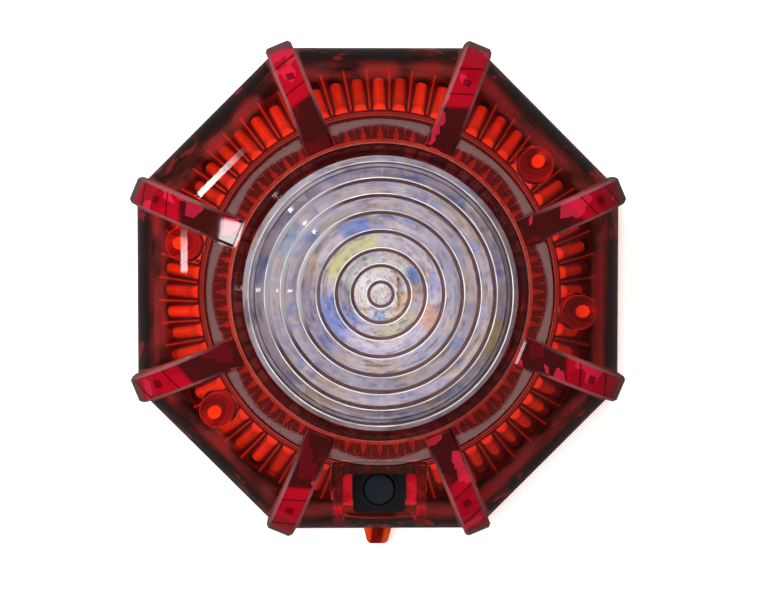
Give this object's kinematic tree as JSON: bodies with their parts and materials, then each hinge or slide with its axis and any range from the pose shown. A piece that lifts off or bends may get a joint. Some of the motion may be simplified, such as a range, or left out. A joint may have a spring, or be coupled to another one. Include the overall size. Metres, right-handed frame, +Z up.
{
  "type": "led safety flare",
  "caption": "Octagonal roadside warning beacon: tinted ribbed shell over a fluted ring of lamps and a clear stepped lens, with a push button, fold-out hook and magnetic base.",
  "frame": {"origin": "centre of the octagon on the underside of the base tray", "axes": "+Z up through the clear lens, -Y towards the button and the hook's finger tab, +X to the right seen from above"},
  "size_m": [0.102, 0.1052, 0.0342],
  "materials": {
    "cover_red": "clear gloss, deep crimson tint",
    "lens_clear": "water-clear gloss",
    "diffuser_orange": "clear gloss, orange-red tint",
    "hook_orange": "clear gloss, orange-red tint",
    "reflector_chrome": "vacuum-metallised, faceted",
    "led_package": "satin, phosphor dome",
    "led_red": "moulded epoxy",
    "board_white": "white solder mask",
    "board_green": "green solder mask",
    "chip_black": "matt moulded",
    "resistor_ceramic": "matt, tinned ends",
    "screw_steel": "zinc plated",
    "magnet_nickel": "nickel plated",
    "contact_nickel": "nickel plated",
    "seal_rubber": "matt",
    "seal_clear": "clear silicone",
    "base_black": "fine spark texture",
    "bezel_black": "satin",
    "plunger_black": "satin",
    "button_rubber": "matt, softly worn",
    "cell_jacket": "printed shrink sleeve",
    "lead_insulation": "satin"
  },
  "bodies": {
    "housing": {"outer_cover": "cover_red", "clear_lens": "lens_clear", "lens_gasket": "seal_clear", "fluted_diffuser": "diffuser_orange", "reflector_cup": "reflector_chrome", "white_led": "led_package", "red_leds": "led_red", "circuit_board": "board_white", "driver_chip": "chip_black", "resistors": "resistor_ceramic", "board_screws": "screw_steel", "base_tray": "base_black", "perimeter_gasket": "seal_rubber", "case_screws": "screw_steel", "magnets": "magnet_nickel", "battery_cell_1": "cell_jacket", "battery_cell_2": "cell_jacket", "battery_cell_3": "cell_jacket", "battery_springs": "contact_nickel", "contact_positive_terminal": "contact_nickel", "contact_negative_terminal": "contact_nickel", "contact_bridge_left": "contact_nickel", "contact_bridge_right": "contact_nickel", "hook_pin": "screw_steel", "switch_board": "board_green", "tact_switch_body": "chip_black", "button_bezel": "bezel_black", "switch_lead": "lead_insulation"},
    "button": {"button_cap": "button_rubber", "switch_plunger": "plunger_black"},
    "hook": {"hang_hook": "hook_orange"},
    "door": {"battery_door": "base_black", "door_gasket": "seal_rubber"},
    "left_screw": {"door_screw_left": "screw_steel"},
    "right_screw": {"door_screw_right": "screw_steel"}
  },
  "joints": [
    {"name": "button_press", "type": "slide", "parent": "housing", "child": "button", "axis": [0, 0, -1], "range_m": [0, 0.0007], "stiffness_N_per_m": 2000},
    {"name": "hook_swing", "type": "hinge", "parent": "housing", "child": "hook", "pos_m": [0, -0.024, 0.0024], "axis": [1, 0, 0], "range_deg": [0, 95]},
    {"name": "battery_door_lift", "type": "slide", "parent": "housing", "child": "door", "axis": [0, 0, -1], "range_m": [0, 0.02]},
    {"name": "door_screw_left_turn", "type": "hinge", "parent": "door", "child": "left_screw", "pos_m": [-0.0305, 0, 0], "axis": [0, 0, 1], "continuous": true},
    {"name": "door_screw_right_turn", "type": "hinge", "parent": "door", "child": "right_screw", "pos_m": [0.0305, 0, 0], "axis": [0, 0, 1], "continuous": true}
  ]
}
